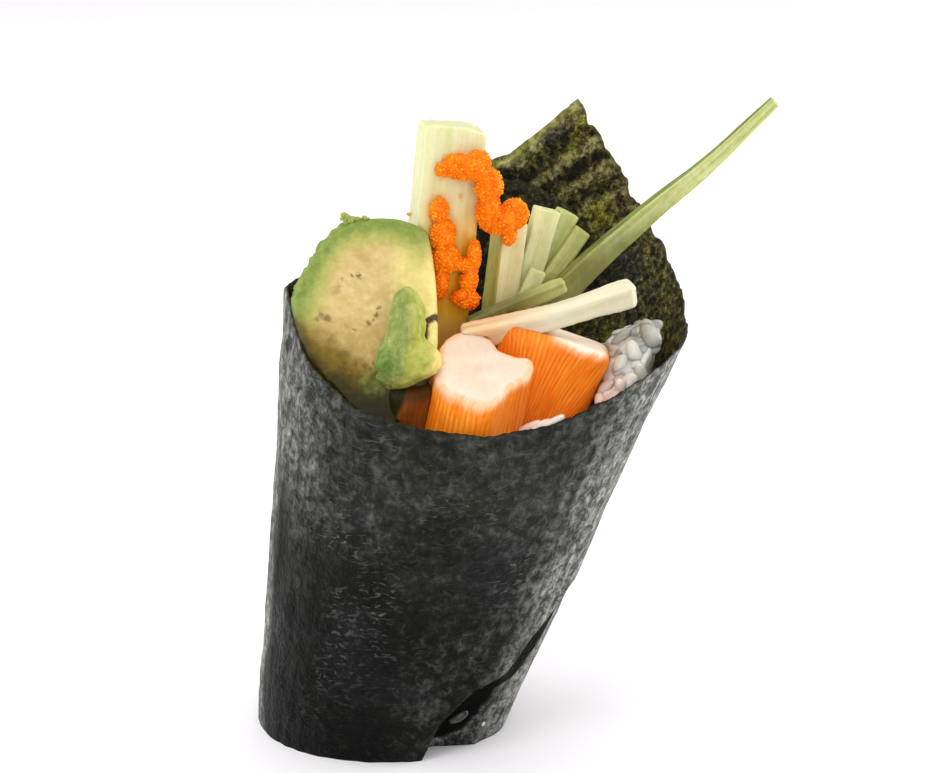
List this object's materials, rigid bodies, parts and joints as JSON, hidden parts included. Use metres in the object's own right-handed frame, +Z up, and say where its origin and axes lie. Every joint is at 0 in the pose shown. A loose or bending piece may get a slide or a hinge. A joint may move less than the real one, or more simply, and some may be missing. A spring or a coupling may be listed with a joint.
{
  "type": "temaki hand roll",
  "caption": "Standing temaki hand roll: a blunt nori cone of rice with avocado, crab sticks, cucumber sticks, a pale stick and orange fish roe showing at the open mouth.",
  "frame": {"origin": "middle of the whole roll's footprint, on the surface it stands on", "axes": "+Z up along the standing height, +X to the side the roll leans and the long cucumber strip points to, +Y to the back where the flap of nori rises"},
  "size_m": [0.0882, 0.0596, 0.1057],
  "materials": {
    "nori": "dry roasted seaweed, slightly rough with a dull sheen",
    "rice": "cooked rice, moist and translucent",
    "avocado": "cut avocado flesh, soft satin",
    "crab": "moist crab stick, orange skin over a white core",
    "cucumber": "moist cut cucumber, satin",
    "pale_stick": "moist pale vegetable stick, satin",
    "roe": "wet, glossy translucent eggs"
  },
  "bodies": {
    "root": {"nori_sheet": "nori", "rice": "rice", "avocado_slice": "avocado", "avocado_piece": "avocado", "crab_stick_front": "crab", "crab_stick_back": "crab", "crab_stick_left": "crab", "cucumber_tall": "cucumber", "cucumber_strip": "cucumber", "cucumber_stick_a": "cucumber", "cucumber_stick_b": "cucumber", "cucumber_stick_c": "cucumber", "cucumber_stick_d": "cucumber", "cucumber_stick_e": "cucumber", "cucumber_stick_f": "cucumber", "pale_stick": "pale_stick", "roe_upper": "roe", "roe_lower": "roe"}
  },
  "joints": []
}
